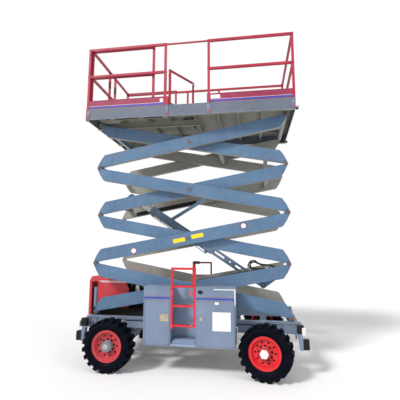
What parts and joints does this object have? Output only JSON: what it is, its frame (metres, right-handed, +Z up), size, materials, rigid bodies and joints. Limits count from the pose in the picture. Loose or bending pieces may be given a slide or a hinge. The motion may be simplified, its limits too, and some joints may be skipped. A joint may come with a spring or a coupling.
{
  "type": "scissor lift",
  "caption": "Rough-terrain scissor lift with a wheeled chassis, side cabinets, a stack of crossed arms, a guarded platform, a roll-out deck and an entry gate.",
  "frame": {"origin": "on the ground, midway between the axles and between the wheels", "axes": "+X along the machine to the steered axle, +Y to the far side, +Z up"},
  "size_m": [3.585, 2.4002, 5.2887],
  "materials": {
    "arm_paint": "satin",
    "body_paint": "satin",
    "frame_paint": "satin",
    "rail_paint": "satin",
    "toe_paint": "satin",
    "deck_paint": "satin",
    "engine_iron": "matte",
    "hood_paint": "satin",
    "tyre": "matte",
    "rim_paint": "satin",
    "rubber": "matte",
    "chrome": "polished",
    "cylinder_paint": "satin",
    "tube_plastic": "matte"
  },
  "bodies": {
    "chassis": {"chassis_frame": "frame_paint", "end_blocks": "rubber", "slide_tracks": "frame_paint", "left_cabinets": "body_paint", "right_cabinets": "body_paint", "step_recesses": "body_paint", "ladders": "rail_paint", "engine": "engine_iron", "engine_hood": "hood_paint", "drive_axle": "frame_paint", "steer_axle": "frame_paint", "tie_down_lugs": "frame_paint"},
    "outer_1": {"outer_frame_1": "arm_paint"},
    "inner_1": {"inner_frame_1": "arm_paint", "lift_hoses": "rubber"},
    "outer_2": {"outer_frame_2": "arm_paint"},
    "inner_2": {"inner_frame_2": "arm_paint"},
    "outer_3": {"outer_frame_3": "arm_paint"},
    "inner_3": {"inner_frame_3": "arm_paint", "guide_strut": "arm_paint", "hose_carrier": "cylinder_paint"},
    "outer_4": {"outer_frame_4": "arm_paint"},
    "inner_4": {"inner_frame_4": "arm_paint"},
    "barrel": {"cylinder_barrel": "cylinder_paint"},
    "stage": {"cylinder_stage": "chrome"},
    "rod": {"cylinder_rod": "chrome"},
    "platform": {"platform_frame": "arm_paint", "platform_deck": "deck_paint", "near_rails": "rail_paint", "far_rails": "rail_paint", "entry_bar": "rail_paint", "toe_boards": "toe_paint", "corner_rollers": "rubber", "document_tube": "tube_plastic"},
    "rollout": {"rollout_deck": "deck_paint", "rollout_rails": "rail_paint"},
    "gate": {"entry_gate": "rail_paint"},
    "door_near_left": {"door_near_left": "body_paint"},
    "door_near_right": {"door_near_right": "body_paint"},
    "steer_near": {"knuckle_near": "frame_paint"},
    "wheel_near_rear": {"tyre_near_rear": "tyre", "rim_near_rear": "rim_paint"},
    "wheel_near_front": {"tyre_near_front": "tyre", "rim_near_front": "rim_paint"},
    "door_far_left": {"door_far_left": "body_paint"},
    "door_far_right": {"door_far_right": "body_paint"},
    "steer_far": {"knuckle_far": "frame_paint"},
    "wheel_far_rear": {"tyre_far_rear": "tyre", "rim_far_rear": "rim_paint"},
    "wheel_far_front": {"tyre_far_front": "tyre", "rim_far_front": "rim_paint"}
  },
  "joints": [
    {"name": "lift", "type": "hinge", "parent": "chassis", "child": "outer_1", "pos_m": [1.569, 0, 0.79], "axis": [0, 1, 0], "range_deg": [-10.58, 47.8]},
    {"name": "outer_joint_2", "type": "hinge", "parent": "outer_1", "child": "outer_2", "pos_m": [-1.59968, 0, 1.59769], "axis": [0, 1, 0], "range_deg": [-95.61, 21.17]},
    {"name": "outer_joint_3", "type": "hinge", "parent": "outer_2", "child": "outer_3", "pos_m": [1.569, 0, 2.40537], "axis": [0, 1, 0], "range_deg": [-21.17, 95.61]},
    {"name": "outer_joint_4", "type": "hinge", "parent": "outer_3", "child": "outer_4", "pos_m": [-1.59968, 0, 3.21306], "axis": [0, 1, 0], "range_deg": [-95.61, 21.17]},
    {"name": "crossing_1", "type": "hinge", "parent": "outer_1", "child": "inner_1", "pos_m": [-0.01534, 0, 1.19384], "axis": [0, 1, 0], "range_deg": [-95.61, 21.17]},
    {"name": "crossing_2", "type": "hinge", "parent": "outer_2", "child": "inner_2", "pos_m": [-0.01534, 0, 2.00153], "axis": [0, 1, 0], "range_deg": [-21.17, 95.61]},
    {"name": "crossing_3", "type": "hinge", "parent": "outer_3", "child": "inner_3", "pos_m": [-0.01534, 0, 2.80922], "axis": [0, 1, 0], "range_deg": [-95.61, 21.17]},
    {"name": "crossing_4", "type": "hinge", "parent": "outer_4", "child": "inner_4", "pos_m": [-0.01534, 0, 3.6169], "axis": [0, 1, 0], "range_deg": [-21.17, 95.61]},
    {"name": "platform_pivot", "type": "hinge", "parent": "outer_4", "child": "platform", "pos_m": [1.569, 0, 4.02075], "axis": [0, 1, 0], "range_deg": [-10.59, 47.81]},
    {"name": "barrel_pivot", "type": "hinge", "parent": "inner_1", "child": "barrel", "pos_m": [1.17416, 0, 1.22553], "axis": [0, 1, 0], "range_deg": [-19.58, 88.44]},
    {"name": "stage_slide", "type": "slide", "parent": "barrel", "child": "stage", "axis": [-0.8375, 0, 0.5464], "range_m": [-0.1787, 0.8056]},
    {"name": "rod_slide", "type": "slide", "parent": "stage", "child": "rod", "axis": [-0.8375, 0, 0.5464], "range_m": [-0.1787, 0.8056]},
    {"name": "rollout_slide", "type": "slide", "parent": "platform", "child": "rollout", "axis": [-1, 0, 0], "range_m": [0, 1]},
    {"name": "gate_hinge", "type": "hinge", "parent": "platform", "child": "gate", "pos_m": [-0.3167, -0.911, 4.18475], "axis": [0, 0, 1], "range_deg": [-59.5, 30]},
    {"name": "door_near_left_hinge", "type": "hinge", "parent": "chassis", "child": "door_near_left", "pos_m": [-0.612, -1.0573, 0.76], "axis": [0, 0, -1], "range_deg": [0, 100]},
    {"name": "door_near_right_hinge", "type": "hinge", "parent": "chassis", "child": "door_near_right", "pos_m": [0.727, -1.0573, 0.76], "axis": [0, 0, 1], "range_deg": [0, 90]},
    {"name": "door_far_left_hinge", "type": "hinge", "parent": "chassis", "child": "door_far_left", "pos_m": [-0.612, 1.0573, 0.76], "axis": [0, 0, 1], "range_deg": [0, 100]},
    {"name": "door_far_right_hinge", "type": "hinge", "parent": "chassis", "child": "door_far_right", "pos_m": [0.727, 1.0573, 0.76], "axis": [0, 0, -1], "range_deg": [0, 90]},
    {"name": "steer_near_pin", "type": "hinge", "parent": "chassis", "child": "steer_near", "pos_m": [1.18, -0.95, 0.385], "axis": [0, 0, 1], "range_deg": [-14, 42]},
    {"name": "steer_far_pin", "type": "hinge", "parent": "chassis", "child": "steer_far", "pos_m": [1.18, 0.95, 0.385], "axis": [0, 0, 1], "range_deg": [-14, 42]},
    {"name": "wheel_near_rear_spin", "type": "hinge", "parent": "chassis", "child": "wheel_near_rear", "pos_m": [-1.18, -0.988, 0.385], "axis": [0, 1, 0], "continuous": true},
    {"name": "wheel_far_rear_spin", "type": "hinge", "parent": "chassis", "child": "wheel_far_rear", "pos_m": [-1.18, 0.988, 0.385], "axis": [0, 1, 0], "continuous": true},
    {"name": "wheel_near_front_spin", "type": "hinge", "parent": "steer_near", "child": "wheel_near_front", "pos_m": [1.17081, -0.98687, 0.385], "axis": [0.2419, 0.9703, 0], "continuous": true},
    {"name": "wheel_far_front_spin", "type": "hinge", "parent": "steer_far", "child": "wheel_far_front", "pos_m": [1.18919, 0.98687, 0.385], "axis": [0.2419, 0.9703, 0], "continuous": true}
  ],
  "couplings": [
    {"joint": "outer_joint_2", "follows": "lift", "ratio": -2},
    {"joint": "outer_joint_3", "follows": "lift", "ratio": 2},
    {"joint": "outer_joint_4", "follows": "lift", "ratio": -2},
    {"joint": "crossing_1", "follows": "lift", "ratio": -2},
    {"joint": "crossing_2", "follows": "lift", "ratio": 2},
    {"joint": "crossing_3", "follows": "lift", "ratio": -2},
    {"joint": "crossing_4", "follows": "lift", "ratio": 2},
    {"joint": "platform_pivot", "follows": "lift", "ratio": 1},
    {"joint": "barrel_pivot", "follows": "lift", "ratio": 1.85},
    {"joint": "stage_slide", "follows": "lift", "m_per_rad": 0.965},
    {"joint": "rod_slide", "follows": "lift", "m_per_rad": 0.965},
    {"joint": "steer_far_pin", "follows": "steer_near_pin", "ratio": 1}
  ]
}
